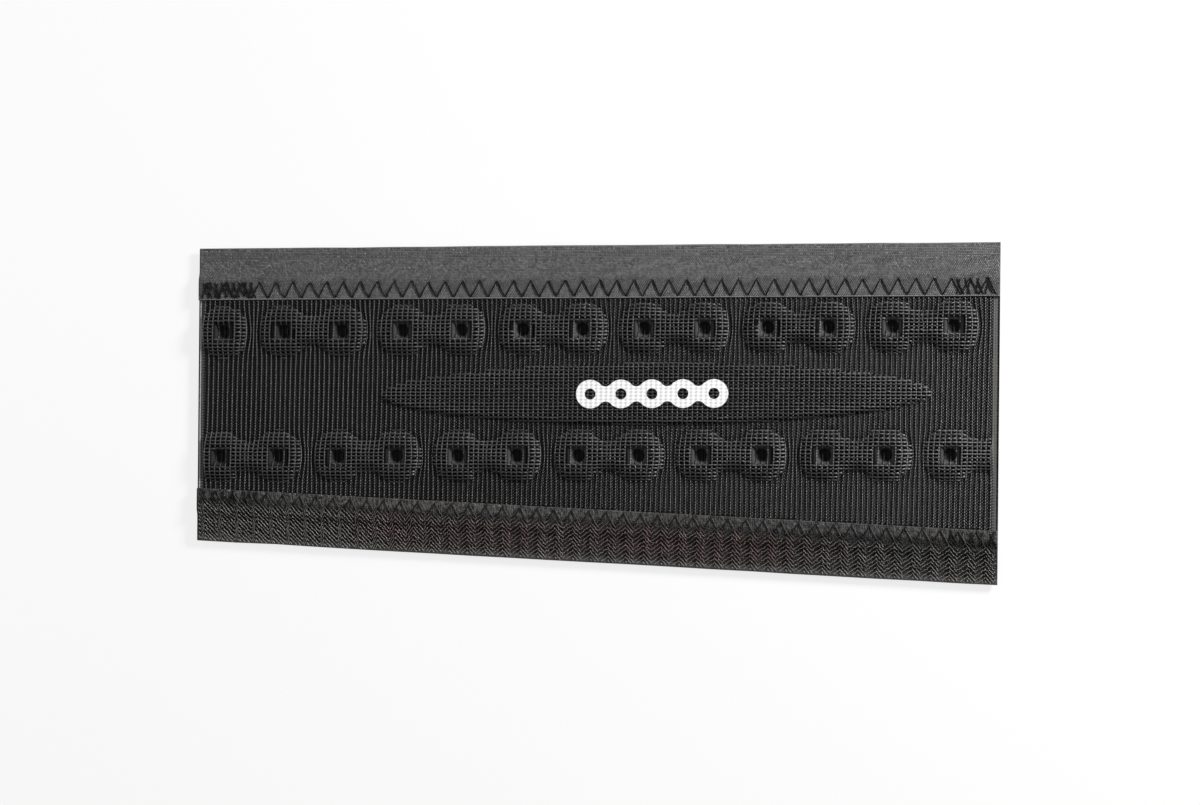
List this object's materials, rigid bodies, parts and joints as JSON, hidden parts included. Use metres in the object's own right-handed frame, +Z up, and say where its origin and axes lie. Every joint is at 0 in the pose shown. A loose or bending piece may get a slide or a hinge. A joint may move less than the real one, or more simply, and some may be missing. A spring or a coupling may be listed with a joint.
{
  "type": "chainstay protector",
  "caption": "Tapered wrap with a ribbed, embossed pad between a loop strip and a hook strip, laid out flat.",
  "frame": {"origin": "under the middle of the outline, on the surface that the back lies on", "axes": "+X along the chainstay towards the wide end, +Y across it towards the loop strip, +Z up out of the face"},
  "size_m": [0.2508, 0.104, 0.0042],
  "materials": {
    "face_mesh": "black ribbed mesh over foam",
    "loop_tape": "dark grey woven tape with a twill back",
    "hook_tape": "black woven tape with hooks in chevron rows",
    "thread": "black twisted sewing thread",
    "print": "white heat-set print"
  },
  "bodies": {
    "root": {"pad": "face_mesh", "loop_strip": "loop_tape", "hook_strip": "hook_tape", "upper_needle_thread": "thread", "upper_bobbin_thread": "thread", "lower_needle_thread": "thread", "lower_bobbin_thread": "thread", "printed_mark": "print"}
  },
  "joints": []
}
